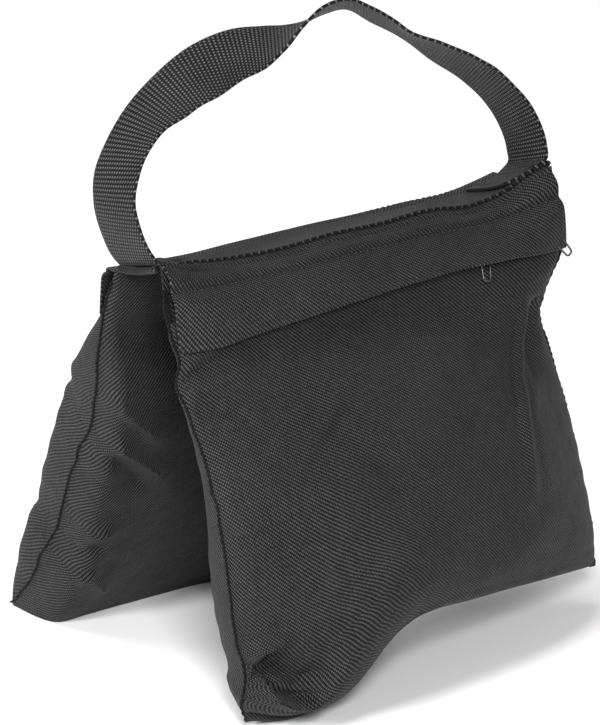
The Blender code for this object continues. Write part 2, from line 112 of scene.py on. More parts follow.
def new_finish(name, colour, roughness, metallic=0.0):
    """A material with one Principled shader, and that shader."""
    material = bpy.data.materials.new(name)
    material.use_nodes = True
    shader = material.node_tree.nodes["Principled BSDF"]
    shader.inputs["Base Color"].default_value = (*colour, 1)
    shader.inputs["Roughness"].default_value = roughness
    shader.inputs["Metallic"].default_value = metallic
    material.diffuse_color = (*colour, 1)
    return material, shader


def add(material, kind, settings=None, **inputs):
    """A new node. An input is a value, or another node's output socket."""
    tree = material.node_tree
    node = tree.nodes.new(kind)
    for key, value in (settings or {}).items():
        setattr(node, key, value)
    for key, value in inputs.items():
        socket = node.inputs[int(key[1:])] if key[0] == "i" and key[1:].isdigit() else node.inputs[key]
        if isinstance(value, bpy.types.NodeSocket):
            tree.links.new(value, socket)
        else:
            socket.default_value = value
    return node


def calc(material, operation, *values):
    sockets = {f"i{k}": value for k, value in enumerate(values)}
    return add(material, "ShaderNodeMath", {"operation": operation}, **sockets).outputs[0]


def noise(material, place, scale, detail, roughness=0.5):
    """Uneven values from 0 to 1, over a place on the cloth or, if it is None, over the piece's box."""
    where = {"Vector": place} if place else {}
    kind = "ShaderNodeTexNoise"
    return add(material, kind, **where, Scale=scale, Detail=detail, Roughness=roughness).outputs["Fac"]


def shade_by(material, shader, amount, dark, light):
    """Sets the base colour between two colours by an amount from 0 to 1."""
    ramp = add(material, "ShaderNodeMixRGB", Fac=amount)
    ramp.inputs["Color1"].default_value = (*dark, 1)
    ramp.inputs["Color2"].default_value = (*light, 1)
    material.node_tree.links.new(ramp.outputs[0], shader.inputs["Base Color"])


floor_mesh = bpy.data.meshes.new("floor")
floor_mesh.from_pydata([(-6, -6, 0), (6, -6, 0), (6, 6, 0), (-6, 6, 0)], [], [(0, 1, 2, 3)])
floor = bpy.data.objects.new("floor", floor_mesh)
scene.collection.objects.link(floor)
floor_paint, floor_shader = new_finish("floor_paint", (0.86, 0.86, 0.86), 0.8)
shade_by(floor_paint, floor_shader, noise(floor_paint, None, 3.0, 2.0), (0.85,) * 3, (0.88,) * 3)
floor_mesh.materials.append(floor_paint)

# ---------------------------------------------------------------- cloth of the pouches
# The pouches, the centre panel and the flaps are cut from one heavy black polyester cloth, coated on its
# back. Its flat yarns are 1.3 mm wide and cross in a plain weave, which shows as fine slanting rows.


def uv_lengths(material):
    """Metres along the cloth and metres across it, from its UV map."""
    cut = add(material, "ShaderNodeSeparateXYZ", i0=add(material, "ShaderNodeUVMap").outputs[0])
    return cut.outputs[0], cut.outputs[1]


def use_height(material, shader, height, strength, distance):
    bump = add(material, "ShaderNodeBump", Height=height, Strength=strength, Distance=distance)
    material.node_tree.links.new(bump.outputs[0], shader.inputs["Normal"])


def stretched(material, place, along, across):
    """A place on the cloth, scaled along it and across it."""
    return add(material, "ShaderNodeMapping", Vector=place, Scale=(along, across, 1.0)).outputs[0]


def sharpen(do, lift, highest, power):
    """Keeps a lift between 0 and its highest, and makes its low parts lower."""
    return do("POWER", do("MINIMUM", do("MAXIMUM", lift, 0.0), highest), power)


yarn_width = 0.00130


def make_cloth_finish(name, dark, light):
    cloth, shader = new_finish(name, light, 0.62)
    do = partial(calc, cloth)
    shader.inputs["Specular IOR Level"].default_value = 0.12
    shader.inputs["Sheen Weight"].default_value = 0.04
    shader.inputs["Sheen Roughness"].default_value = 0.45
    along, across = uv_lengths(cloth)
    place = add(cloth, "ShaderNodeCombineXYZ", i0=along, i1=across).outputs[0]
    shift = do("MULTIPLY", do("SUBTRACT", noise(cloth, place, 60.0, 2.0), 0.5), 0.0011)
    one_way = do("ADD", do("SUBTRACT", along, across), shift)
    other_way = do("SUBTRACT", do("ADD", along, across), shift)
    one_way = do("COSINE", do("MULTIPLY", one_way, math.pi / yarn_width))
    other_way = do("COSINE", do("MULTIPLY", other_way, 1.6 * math.pi / yarn_width))
    crossing = do("MULTIPLY_ADD", other_way, -0.42, do("MULTIPLY", one_way, 0.58))
    slub = noise(cloth, stretched(cloth, place, 900.0, 90.0), 1.0, 1.0)
    cross_slub = noise(cloth, stretched(cloth, place, 90.0, 900.0), 1.0, 1.0)
    fibres = noise(cloth, place, 1100.0, 1.0)
    wear = noise(cloth, place, 14.0, 5.0, 0.6)
    lift = do("MULTIPLY_ADD", crossing, 0.66, 0.38)
    for unevenness, share in ((slub, 0.30), (cross_slub, 0.30), (fibres, 0.70), (wear, 0.45)):
        lift = do("MULTIPLY_ADD", do("SUBTRACT", unevenness, 0.5), share, lift)
    shade_by(cloth, shader, sharpen(do, lift, 1.2, 2.0), dark, light)
    rough = do("MULTIPLY_ADD", wear, 0.22, 0.50)
    cloth.node_tree.links.new(rough, shader.inputs["Roughness"])
    height = do("MULTIPLY_ADD", slub, 0.35, do("MULTIPLY_ADD", crossing, 0.5, 0.5))
    height = do("MULTIPLY_ADD", noise(cloth, place, 85.0, 3.0, 0.55), 4.0, height)
    use_height(cloth, shader, height, 0.85, 0.0005)
    return cloth


black_cloth = make_cloth_finish("black_oxford_cloth", (0.0004, 0.0004, 0.0004), (0.064, 0.064, 0.0660))
# A darker copy of the same cloth, with painted shade, for the centre panel that lies under the strip webbing.
shaded_panel_cloth = make_cloth_finish("shaded_oxford_cloth", (0.0003, 0.0003, 0.0003), (0.046, 0.046, 0.0475))


def through(places, values, where):
    """Values at `where`, on the smooth curve through the given values at the given places."""
    places, values, where = np.asarray(places, float), np.asarray(values, float), np.asarray(where, float)
    where = np.clip(where, places[0], places[-1])
    slopes = np.gradient(values, places, axis=0)
    k = np.clip(np.searchsorted(places, where, side="right") - 1, 0, len(places) - 2)
    span = places[k + 1] - places[k]
    t = (where - places[k]) / span
    spread = t.shape + (1,) * (values.ndim - 1)
    span, t = span.reshape(spread), t.reshape(spread)
    return (
        (1 + 2 * t) * (1 - t) ** 2 * values[k]
        + t * (1 - t) ** 2 * span * slopes[k]
        + t * t * (3 - 2 * t) * values[k + 1]
        + t * t * (t - 1) * span * slopes[k + 1]
    )


def rumple(along, across, size, seed):
    """Smooth uneven humps from -1 to 1 over a cloth, each about `size` metres across."""
    lattice = np.random.default_rng(seed).uniform(-1, 1, (64, 64))
    a, b = np.asarray(along) / size + 31.7, np.asarray(across) / size + 17.3
    i, j = np.floor(a).astype(int), np.floor(b).astype(int)
    a, b = a - i, b - j
    a, b = a * a * (3 - 2 * a), b * b * (3 - 2 * b)

    def at(p, q):
        return lattice[p % 64, q % 64]

    near = at(i, j) * (1 - a) + at(i + 1, j) * a
    far = at(i, j + 1) * (1 - a) + at(i + 1, j + 1) * a
    return near * (1 - b) + far * b


def ease(low, high, value):
    """From 0 at low to 1 at high, smoothly."""
    t = np.clip((np.asarray(value, float) - low) / (high - low), 0, 1)
    return t * t * (3 - 2 * t)


def unit(vectors):
    return vectors / np.maximum(np.linalg.norm(vectors, axis=-1, keepdims=True), 1e-12)


def facing(grid):
    """The unit normals of a grid of points."""
    return unit(np.cross(np.gradient(grid, axis=1), np.gradient(grid, axis=0)))


def lengths_of(grid):
    """How far each point of a grid is along its rows and down its columns, in metres."""
    steps = np.linalg.norm(np.diff(grid, axis=1), axis=2)
    along = np.concatenate([np.zeros((len(grid), 1)), np.cumsum(steps, axis=1)], axis=1)
    steps = np.linalg.norm(np.diff(grid, axis=0), axis=2)
    down = np.concatenate([np.zeros((1, grid.shape[1])), np.cumsum(steps, axis=0)], axis=0)
    return along - along.mean(axis=1, keepdims=True), down


def make_piece(name, points, faces, face_uvs, finish):
    """A mesh object from points in the bag's own frame, with faces turned outwards and smooth shading."""
    mesh = bpy.data.meshes.new(name)
    mesh.from_pydata((np.asarray(points) + middle).tolist(), [], [list(face) for face in faces])
    layer = mesh.uv_layers.new(name="weave")
    layer.data.foreach_set("uv", np.asarray(face_uvs, np.float32).ravel())
    mesh.materials.append(finish)
    work = bmesh.new()
    work.from_mesh(mesh)
    bmesh.ops.recalc_face_normals(work, faces=work.faces)
    work.to_mesh(mesh)
    work.free()
    mesh.shade_smooth()
    piece = bpy.data.objects.new(name, mesh)
    scene.collection.objects.link(piece)
    return piece


def thick_sheet(name, grid, thickness, finish, uvs=None, normals=None):
    """A sheet of cloth or webbing round a grid of points, with rounded rims."""
    rows, columns = grid.shape[:2]
    normals = facing(grid) if normals is None else normals
    uvs = np.stack(lengths_of(grid), axis=2) if uvs is None else uvs
    thickness = np.broadcast_to(thickness, (rows, columns))[..., None]
    upper, lower = grid + normals * thickness / 2, grid - normals * thickness / 2
    index = np.arange(rows * columns).reshape(rows, columns)
    rim = np.concatenate([index[0, :-1], index[:-1, -1], index[-1, :0:-1], index[:0:-1, 0]])
    inner = np.clip(np.stack(np.unravel_index(rim, (rows, columns)), 1), 1, [rows - 2, columns - 2])
    flat, flat_uv = grid.reshape(-1, 3), uvs.reshape(-1, 2)
    outwards = unit(flat[rim] - grid[inner[:, 0], inner[:, 1]])
    edge = flat[rim] + outwards * thickness.reshape(-1, 1)[rim] / 2
    points = np.concatenate([upper.reshape(-1, 3), lower.reshape(-1, 3), edge])
    count = rows * columns
    top = np.stack([index[:-1, :-1], index[1:, :-1], index[1:, 1:], index[:-1, 1:]], 2).reshape(-1, 4)
    bottom = top[:, ::-1] + count
    here, after = np.arange(len(rim)), np.roll(np.arange(len(rim)), -1)
    over = np.stack([rim[here], rim[after], 2 * count + after, 2 * count + here], 1)
    under = np.stack([count + rim[after], count + rim[here], 2 * count + here, 2 * count + after], 1)
    faces = np.concatenate([top, bottom, over, under])
    all_uvs = np.concatenate([flat_uv, flat_uv, flat_uv[rim]])
    return make_piece(name, points, faces, all_uvs[faces].reshape(-1, 2), finish)


# ---------------------------------------------------------------- centre panel and strip webbing
# The pouches hang from one strip: a panel of the cloth with 38 mm webbing sewn flat along its top.
# The filled pouches drag the strip down in the middle and to the rear, and its corners stay up.
# Each row is a place along the strip and the lift there of its front edge and of its rear edge.
strip_edges = [
    (-0.140, 0.0105, -0.006),
    (-0.124, 0.0052, -0.008),
    (-0.108, 0.0020, -0.010),
    (-0.084, -0.0005, -0.012),
    (-0.052, -0.0022, -0.012),
    (-0.017, -0.0010, -0.012),
    (0.016, -0.0022, -0.0125),
    (0.052, -0.0014, -0.014),
    (0.086, -0.0050, -0.0145),
    (0.106, -0.0020, -0.0145),
    (0.124, 0.0052, -0.011),
    (0.140, 0.0100, -0.006),
]


def edge_lift(x, side):
    """How far the strip's front (-1) or rear (1) edge is above or below the flat strip."""
    places, front_edge, rear_edge = zip(*strip_edges)
    return through(places, front_edge if side < 0 else rear_edge, x)


def strip_point(x, share, rise):
    """A point over the strip: share runs from -1 at its front edge to 1 at its rear edge."""
    x, share = np.broadcast_arrays(np.asarray(x, float), np.asarray(share, float))
    front, rear = edge_lift(x, -1) * (1 - 0.55 * ease(0.112, 0.134, -x)), edge_lift(x, 1)
    level = front + (rear - front) * (share + 1) / 2 - 0.0016 * (1 - share**2)
    level = level - 0.0012 * ease(0.1370, 0.1405, np.abs(x))
    return np.stack([x, share * half_strip, strip_top + level + rise], axis=-1)


def strip_grid(reach, width_share, rise, steps, rows):
    x = np.linspace(-reach, reach, steps)[None, :]
    share = np.linspace(-width_share, width_share, rows)[:, None]
    return strip_point(x, share, rise)


# The panel wears the darker copy of the cloth: painted shade.
panel = thick_sheet("centre_panel_cloth", strip_grid(half_bag, 0.995, -0.0005, 90, 9), 0.0010, shaded_panel_cloth)
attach(panel, "strip")
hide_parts("centre_panel")

rib_pitch, bead_width = 0.0026, 0.0021


def make_webbing_finish(name, dark, light):
    webbing, shader = new_finish(name, light, 0.55)
    do = partial(calc, webbing)
    shader.inputs["Specular IOR Level"].default_value = 0.14
    shader.inputs["Sheen Weight"].default_value = 0.05
    shader.inputs["Sheen Roughness"].default_value = 0.4
    along, across = uv_lengths(webbing)
    row = do("DIVIDE", along, rib_pitch)
    row_shift = do("MULTIPLY", do("MODULO", do("FLOOR", row), 2.0), 0.5)
    slant = do("MULTIPLY", do("FRACT", row), 0.35)
    step = do("ADD", do("ADD", do("DIVIDE", across, bead_width), row_shift), slant)
    bead = do("ABSOLUTE", do("SINE", do("MULTIPLY", step, math.pi)))
    rib = do("ABSOLUTE", do("SINE", do("MULTIPLY", row, math.pi)))
    hump = do("MULTIPLY", do("POWER", bead, 1.6), do("POWER", rib, 1.3))
    place = add(webbing, "ShaderNodeCombineXYZ", i0=along, i1=across).outputs[0]
    fibre = noise(webbing, stretched(webbing, place, 2600.0, 700.0), 1.0, 2.0)
    wear = noise(webbing, place, 35.0, 4.0)
    lift = do("MULTIPLY_ADD", do("SUBTRACT", fibre, 0.5), 0.35, hump)
    lift = do("MULTIPLY_ADD", do("SUBTRACT", wear, 0.55), 0.4, lift)
    shade_by(webbing, shader, sharpen(do, lift, 1.0, 3.0), dark, light)
    use_height(webbing, shader, do("MULTIPLY_ADD", fibre, 0.2, hump), 0.9, 0.0008)
    return webbing


black_webbing = make_webbing_finish("black_nylon_webbing", (0.0003, 0.0003, 0.0003), (0.130, 0.130, 0.1340))
# A slightly darker copy of the same webbing, with painted shade, for the strip under the handle.
shaded_strip_webbing = make_webbing_finish("shaded_nylon_webbing", (0.0003, 0.0003, 0.0003), (0.120, 0.120, 0.1236))
strip_top_grid = strip_grid(half_bag + 0.0005, 1.00, 0.0013, 360, 15)
strip_thickness = 0.0018 + 0.0016 * ease(0.1365, 0.1385, np.abs(strip_top_grid[..., 0]))
strip_web = thick_sheet("strip_webbing_piece", strip_top_grid, strip_thickness, shaded_strip_webbing)
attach(strip_web, "strip")
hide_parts("strip_webbing")

# ---------------------------------------------------------------- handle
# One length of the same nylon webbing. Each end is lapped on the strip and bar-tacked, and between them
# the webbing stands up in a loop that twists as it crosses over, because it keeps the set of its roll.
# Each row is a point of its middle line, as x and height, and then how far its rear edge is to the right
# of its front edge and above it. All are in millimetres.
handle_course = [
    (-112, 250.6, 0, -9),
    (-128, 251.9, 0, -10),
    (-138, 254.2, -1, -10.5),
    (-143, 260.0, -2, -9.5),
    (-150, 273.0, -2, -7),
    (-156, 295.0, -2, -8),
    (-153.5, 315.0, -4, -9),
    (-146, 328.0, -3, -6),
    (-135, 340.0, 0, 1),
    (-117, 351.0, 1, 10),
    (-93, 361.0, 5, 19),
    (-70, 366.5, 13, 17),
    (-50, 367.5, 19, 10),
    (-36, 370.0, 21, 0),
    (-24, 375.0, 21, -10),
    (-10, 380.5, 20, -15),
    (6, 381.5, 20, -16),
    (25, 371.5, 20, -19),
    (43, 360.0, 20, -18),
    (53, 353.0, 18, -17),
    (73, 340.0, 12, -20),
    (97, 324.0, 9, -22),
    (116, 306.0, 6, -21),
    (130, 287.0, 2, -19),
    (138, 267.0, 0, -14),
    (139, 259.0, 0, -13),
    (133, 254.5, 0, -14),
    (122, 249.5, 0, -15),
    (108, 247.3, 0, -13),
]
webbing_width = 0.0378


def webbing_along(course, step):
    """The middle line, the ways across and the lengths along a webbing, at even steps of its length."""
    course = np.array(course, float) / 1000
    middles = np.stack([course[:, 0], np.zeros(len(course)), course[:, 1]], 1)
    across_x, across_z = course[:, 2], course[:, 3]
    across_y = np.sqrt(np.maximum(webbing_width**2 - across_x**2 - across_z**2, 1e-6))
    across = np.stack([across_x, across_y, across_z], 1)
    knots = np.concatenate([[0], np.cumsum(np.linalg.norm(np.diff(middles, axis=0), axis=1))])
    fine = np.linspace(0, knots[-1], 4000)
    line = through(knots, middles, fine)
    run = np.concatenate([[0], np.cumsum(np.linalg.norm(np.diff(line, axis=0), axis=1))])
    count = int(run[-1] / step)
    even = np.interp(np.linspace(0, run[-1], count), run, fine)
    return through(knots, middles, even), unit(through(knots, across, even)), np.linspace(0, run[-1], count)


handle_line, handle_across, handle_run = webbing_along(handle_course, 0.00033)
scallop = 0.00045 * np.abs(np.sin(math.pi * handle_run / (rib_pitch / 2)))
kink = 0.0012 * rumple(handle_run, handle_run * 0, 0.017, 5) * ease(0.03, 0.08, handle_run)
shares = np.linspace(-1, 1, 15)
half_width = webbing_width / 2 + scallop
handle_grid = handle_line[None] + shares[:, None, None] * (handle_across * half_width[:, None])[None]
along_way = unit(np.gradient(handle_line, axis=0))
handle_out = unit(np.cross(handle_across, along_way))
curl = 0.0009 * (shares**2)[:, None] * rumple(handle_run, handle_run * 0, 0.060, 9)[None]
wave = kink[None] * np.where(shares < 0, -shares, 0)[:, None] ** 1.5
handle_grid = handle_grid + (curl + wave)[..., None] * handle_out[None]
from_edge = shares[:, None] * webbing_width / 2 + 0.0195
handle_uvs = np.stack(np.broadcast_arrays(handle_run[None], from_edge), axis=2)
handle = thick_sheet("handle_webbing_piece", handle_grid, 0.0018, black_webbing, uvs=handle_uvs)
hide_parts("handle_webbing")
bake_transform(handle)

# ---------------------------------------------------------------- thread
# Black bonded thread, a shade glossier than the cloth. It shows as the dashes of the flap's stitch line
# and as the close zigzag of the bar tacks that hold the handle.
thread_finish, thread_shader = new_finish("black_thread", (0.055, 0.055, 0.058), 0.42)
along, across = uv_lengths(thread_finish)
twist = calc(thread_finish, "MULTIPLY", calc(thread_finish, "ADD", along, across), math.pi / 0.00045)
strand = calc(thread_finish, "ABSOLUTE", calc(thread_finish, "SINE", twist))
shade_by(thread_finish, thread_shader, strand, (0.003, 0.003, 0.003), (0.024, 0.024, 0.0245))
use_height(thread_finish, thread_shader, strand, 0.6, 0.0002)
thread_width = 0.0007


def lay_stitches(name, starts, ends, normals, thickness):
    """Short runs of thread, each a bead that dives into the cloth at both ends."""
    ring, stations = 6, np.array([0.0, 0.12, 0.5, 0.88, 1.0])
    swell = np.array([0.25, 0.85, 1.0, 0.85, 0.25])
    points, faces, uvs = [], [], []
    turns = np.linspace(0, 2 * math.pi, ring, endpoint=False)
    for start, end, normal in zip(starts, ends, normals):
        way = unit(end - start)
        side = unit(np.cross(way, normal))
        first = len(points)
        for station, full in zip(stations, swell):
            centre = start + (end - start) * station + normal * thickness * (full - 0.75) * 0.6
            for turn in turns:
                spoke = side * math.cos(turn) + normal * math.sin(turn)
                points.append(centre + spoke * thickness / 2 * full)
        for k in range(len(stations) - 1):
            for i in range(ring):
                j = (i + 1) % ring
                low, high = first + k * ring, first + (k + 1) * ring
                faces.append((low + i, low + j, high + j, high + i))
                run = np.linalg.norm(end - start)
                s0, s1 = stations[k] * run, stations[k + 1] * run
                uvs += [(s0, i * 0.0002), (s0, (i + 1) * 0.0002), (s1, (i + 1) * 0.0002), (s1, i * 0.0002)]
        faces.append(tuple(first + i for i in range(ring))[::-1])
        faces.append(tuple(first + 4 * ring + i for i in range(ring)))
        uvs += [(0, 0)] * (2 * ring)
    return make_piece(name, points, faces, uvs, thread_finish)


def tack_stitches(x, reach):
    """The zigzag of one bar tack across the strip at x."""
    shares = np.linspace(-reach, reach, 46)
    swing = np.where(np.arange(46) % 2 == 0, -0.0012, 0.0012)
    dots = strip_point(x + swing, shares, 0.0044)
    up = np.broadcast_to(np.array([0.0, 0.0, 1.0]), (45, 3))
    return dots[:-1], dots[1:], up


for label, end in (("left", -1), ("right", 1)):
    for number, inset in enumerate((0.010, 0.024), 1):
        starts, ends, ups = tack_stitches(end * (half_bag - inset), 0.86)
        tack = lay_stitches(f"{label}_tack_{number}", starts, ends, ups, thread_width)
        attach(tack, "strip")
        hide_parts(f"{label}_bar_tack_{number}")

# ---------------------------------------------------------------- pouches
# Each pouch is one cloth folded at the bottom and sewn up its two sides, filled with sand in a liner.
# It hangs from the strip's edge, leans out, and its lower corners splay on the floor.
zip_zone, top_slope, fold_reach = 0.036, math.radians(19), 0.003
fold_height = strip_top - 0.0005
zone_height = fold_height - zip_zone * math.cos(top_slope)
drop_shares = np.array([0.25, 0.46, 0.71, 0.88, 1.0])
zip_line = 0.0200
lift_places = [-0.140, -0.105, -0.085, -0.068, -0.050, -0.030, -0.008, 0.035, 0.085, 0.140]


def middle_surface(run, lift, x, ways):
    """Out and up of a pouch's middle surface, one row for each way down it and one column for each x."""
    stations = np.linspace(-half_bag, half_bag, len(run))
    outs = through(stations, np.array(run), x)
    lifts = through(lift_places, np.array(lift), x)
    slope = np.array([math.sin(top_slope), -math.cos(top_slope)])
    nodes = [np.broadcast_to([zip_zone * slope[0], zone_height], (len(x), 2))]
    for k, share in enumerate(drop_shares):
        nodes.append(np.stack([outs[:, k], zone_height - share * (zone_height - lifts)], 1))
    step = np.linalg.norm(nodes[1] - nodes[0], axis=1, keepdims=True)
    nodes = [nodes[1] - 2 * slope * step, *nodes, 2 * nodes[-1] - nodes[-2]]
    rows = []
    for way in ways:
        if way <= 1:
            place = np.array([way * zip_zone * slope[0], fold_height + way * zip_zone * slope[1]])
            rows.append(np.broadcast_to(place, (len(x), 2)))
            continue
        spans = len(drop_shares)
        k = min(int((way - 1) * spans), spans - 1)
        u = (way - 1) * spans - k
        p, a, b, q = nodes[k : k + 4]
        bend = (2 * p - 5 * a + 4 * b - q) * u**2 + (3 * a - p - 3 * b + q) * u**3
        rows.append(0.5 * (2 * a + (b - p) * u + bend))
    return np.array(rows)


belly_places = [1.0, 1.06, 1.165, 1.35, 1.53, 1.7, 1.8, 1.9, 1.96, 2.0]


def fullness(x, ways, zone_start, belly, left_end, right_end):
    """How far a side of the pouch bellies out of its middle surface, closing to nothing at its seams.

    belly is its depth at the places down the pouch, and an end is square if its number is high.
    """
    way = np.array(ways)[:, None]
    down = np.clip(way - 1, 0, 1)
    rise = zone_start + (belly[0] - zone_start) * np.minimum(way, 1)
    rise = np.where(way <= 1, rise, through(belly_places, belly, np.clip(way, 1, 2)))
    rise = np.where(down > 0.96, belly[-2] * np.sqrt(np.clip((1 - down) / 0.04, 0, 1)), rise)
    square = np.where(x < 0, left_end, right_end)[None, :]
    squareness = np.where(way <= 1, 40.0, square + (40.0 - square) * np.exp(-30 * down))
    end = np.abs(x / half_bag)[None, :]
    return np.maximum(rise, 0) * np.clip(1 - end**squareness, 0, 1) ** 0.55


def crease(x, way, course, width, height, skew=0.0):
    """A fold along a course of (x, way) points: a ridge, or a valley if height is negative.

    skew adds a step across the fold, so that one side of it stands higher. It fades out at both ends.
    """
    length_of_way = 0.25
    a = np.stack(np.broadcast_arrays(x, way * length_of_way), axis=-1)
    course = np.array(course, float) * [1, length_of_way]
    best = np.full(a.shape[:2], 1e9)
    side = np.zeros(a.shape[:2])
    run = np.zeros(a.shape[:2])
    total = np.linalg.norm(np.diff(course, axis=0), axis=1).sum()
    done = 0.0
    for start, end in zip(course[:-1], course[1:]):
        along = end - start
        length = np.linalg.norm(along)
        t = np.clip(((a - start) @ along) / length**2, 0, 1)
        off = a - (start + t[..., None] * along)
        far = np.linalg.norm(off, axis=-1)
        cross = (along[0] * off[..., 1] - along[1] * off[..., 0]) / length
        closer = far < best
        best = np.where(closer, far, best)
        side = np.where(closer, cross, side)
        run = np.where(closer, (done + t * length) / total, run)
        done += length
    fade = ease(0.0, 0.10, run) * ease(1.0, 0.60, run)
    bell = np.clip(1 - best / (2.2 * width), 0, 1) ** 2
    return (height * bell + skew * side / width * bell * 1.6) * fade


def creased(x, way, folds):
    """How far a side of a pouch or flap stands up or down with all of its folds."""
    return sum(crease(x, way, *fold) for fold in folds)


def pouch_columns(count):
    return half_bag * np.sin(math.pi / 2 * np.linspace(-1, 1, count) * 0.97) / math.sin(math.pi / 2 * 0.97)


columns = pouch_columns(190)
lower_ways = 2 - (1 - np.linspace(0, 1, 180)[1:]) ** 1.25
zone_ways = np.array([0.0, 0.15, 0.3, 0.45, 0.6, 0.68, 0.70, 0.72, 0.74, 0.78, 0.84, 0.90, 0.95, 1.0])
all_ways = np.concatenate([zone_ways, lower_ways])


def top_lift(side, x, ways):
    """The pouch's top edge follows the strip's edge, and this dies away down to the zip."""
    fade = 1 - ease(0.0, 0.55 if side < 0 else 1.6, np.array(ways))[:, None]
    return edge_lift(x, side)[None, :] * fade


def lay_pouch(side, shape, seed):
    """The outer and inner grids of a pouch in the bag's own frame, and its middle surface's grid."""
    x, ways = columns, all_ways
    out_up = middle_surface(shape["run"], shape["lift"], x, ways)
    tangent = np.gradient(out_up, axis=0)
    normal = unit(np.stack([-tangent[..., 1], tangent[..., 0]], axis=-1))
    way = ways[:, None]
    zone = ease(0.95, 1.1, way)
    recess = 1 - 0.85 * (1 - ease(0.700, 0.725, way))
    outer = fullness(x, ways, 0.0031, shape["outer_belly"], *shape["outer_ends"]) * recess
    inner = fullness(x, ways, 0.0026, shape["inner_belly"], *shape["inner_ends"])
    open_share = np.clip(1 - np.abs(x / half_bag) ** 40, 0, 1)[None, :] * np.clip((2.0 - way) / 0.04, 0, 1)
    gathers = 0.0007 * np.sin(2 * math.pi * (way * 0.25) / 0.021 + 5 * rumple(way * 0.25, side, 0.05, seed))
    near_seam = np.exp(-np.maximum(half_bag - np.abs(x), 0)[None, :] / 0.020)
    uneven = 0.0026 * rumple(x[None, :], way * 0.25, 0.055, seed)
    uneven = uneven + 0.0008 * rumple(x[None, :], way * 0.25, 0.022, seed + 1)
    loose = (uneven + gathers * near_seam) * zone
    outer = outer + (creased(x[None, :], way, shape["outer_folds"]) + loose) * open_share
    inner = inner + (creased(x[None, :], way, shape["inner_folds"]) + loose) * open_share
    right_in, left_in = (through(*shape[end + "_drawn_in"], ways)[:, None] for end in ("right", "left"))
    drawn_in = right_in * ease(-0.2, 1.0, x / half_bag)[None, :] ** 2
    drawn_in = drawn_in - left_in * ease(-0.2, 1.0, -x / half_bag)[None, :] ** 2
    grids = []
    for rise in (np.maximum(outer, 0), -np.maximum(inner, 0), np.zeros_like(outer)):
        place = out_up + normal * rise[..., None]
        y = side * (half_strip + fold_reach + place[..., 0])
        z = np.maximum(place[..., 1] + top_lift(side, x, ways), 0.0004)
        grids.append(np.stack([x[None, :] - drawn_in, y, z], axis=-1))
    return grids


def sew_pouch(name, outer, inner, finish):
    """One closed cloth form from the outer side, round the bottom and up the inner side."""
    rows, count = outer.shape[:2]
    sheet = np.concatenate([outer, inner[-2::-1]])
    index = np.arange(sheet.shape[0] * count).reshape(-1, count)
    for row in range(rows - 1):
        index[-1 - row, 0], index[-1 - row, -1] = index[row, 0], index[row, -1]
    along, down = lengths_of(sheet)
    down = np.broadcast_to(down.mean(axis=1, keepdims=True), along.shape)
    uvs = np.stack([along, down], axis=2)
    a, b, c, d = index[:-1, :-1], index[1:, :-1], index[1:, 1:], index[:-1, 1:]
    faces = np.stack([a, b, c, d], axis=2).reshape(-1, 4)
    corners = np.stack([uvs[:-1, :-1], uvs[1:, :-1], uvs[1:, 1:], uvs[:-1, 1:]], axis=2).reshape(-1, 4, 2)
    top = np.stack([index[0, :-1], index[0, 1:], index[-1, 1:], index[-1, :-1]], 1)
    faces = np.concatenate([faces, top])
    corners = np.concatenate([corners, np.zeros((len(top), 4, 2))])
    tidy_faces, tidy_uvs = [], []
    for face, corner in zip(faces.tolist(), corners.tolist()):
        keep = [k for k in range(4) if face[k] not in face[:k]]
        if len(keep) > 2:
            tidy_faces.append([face[k] for k in keep])
            tidy_uvs += [corner[k] for k in keep]
    return make_piece(name, sheet.reshape(-1, 3), tidy_faces, tidy_uvs, finish)


# The folds of each side of a pouch: a course, a width, a height and, where a side of it is higher, a step.
front_outer_folds = [
    ([(-0.1385, 1.080), (-0.132, 1.068), (-0.120, 1.048), (-0.105, 1.030)], 0.0032, -0.0030),
    ([(-0.1385, 1.055), (-0.128, 1.038), (-0.112, 1.015)], 0.0045, 0.0034),
    ([(-0.1390, 1.105), (-0.126, 1.100), (-0.108, 1.090), (-0.085, 1.075)], 0.0070, 0.0042),
    ([(-0.138, 1.135), (-0.118, 1.160), (-0.095, 1.210)], 0.0060, -0.0022),
    (
        [(0.126, 1.10), (0.112, 1.190), (0.094, 1.300), (0.084, 1.420), (0.078, 1.540), (0.074, 1.66)],
        0.0055,
        0.0046,
        0.0050,
    ),
    ([(0.134, 1.10), (0.126, 1.18), (0.112, 1.27), (0.104, 1.36)], 0.0100, -0.0060),
    ([(-0.1393, 1.783), (-0.1376, 1.774), (-0.1342, 1.740), (-0.131, 1.725)], 0.0024, -0.0055),
    ([(-0.1390, 1.762), (-0.1355, 1.730), (-0.130, 1.700)], 0.0034, 0.0034),
    (
        [(-0.1335, 1.735), (-0.131, 1.775), (-0.1275, 1.808), (-0.1215, 1.826), (-0.11, 1.842), (-0.092, 1.85)],
        0.0042,
        -0.0090,
    ),
    ([(-0.132, 1.70), (-0.123, 1.755), (-0.110, 1.790), (-0.084, 1.80)], 0.0125, -0.0170),
    (
        [(-0.1355, 1.742), (-0.1325, 1.79), (-0.1275, 1.832), (-0.118, 1.854), (-0.104, 1.868), (-0.086, 1.868)],
        0.0032,
        0.0095,
    ),
    ([(-0.146, 1.93), (-0.120, 1.95), (-0.095, 1.96), (-0.070, 1.96)], 0.0150, -0.0090),
    ([(-0.060, 1.25), (-0.030, 1.45), (-0.020, 1.70)], 0.030, -0.0040),
    ([(0.020, 1.10), (0.040, 1.35), (0.020, 1.60)], 0.035, 0.0030),
]
front_inner_folds = [([(-0.130, 1.3), (-0.100, 1.4), (-0.060, 1.5)], 0.008, -0.002)]
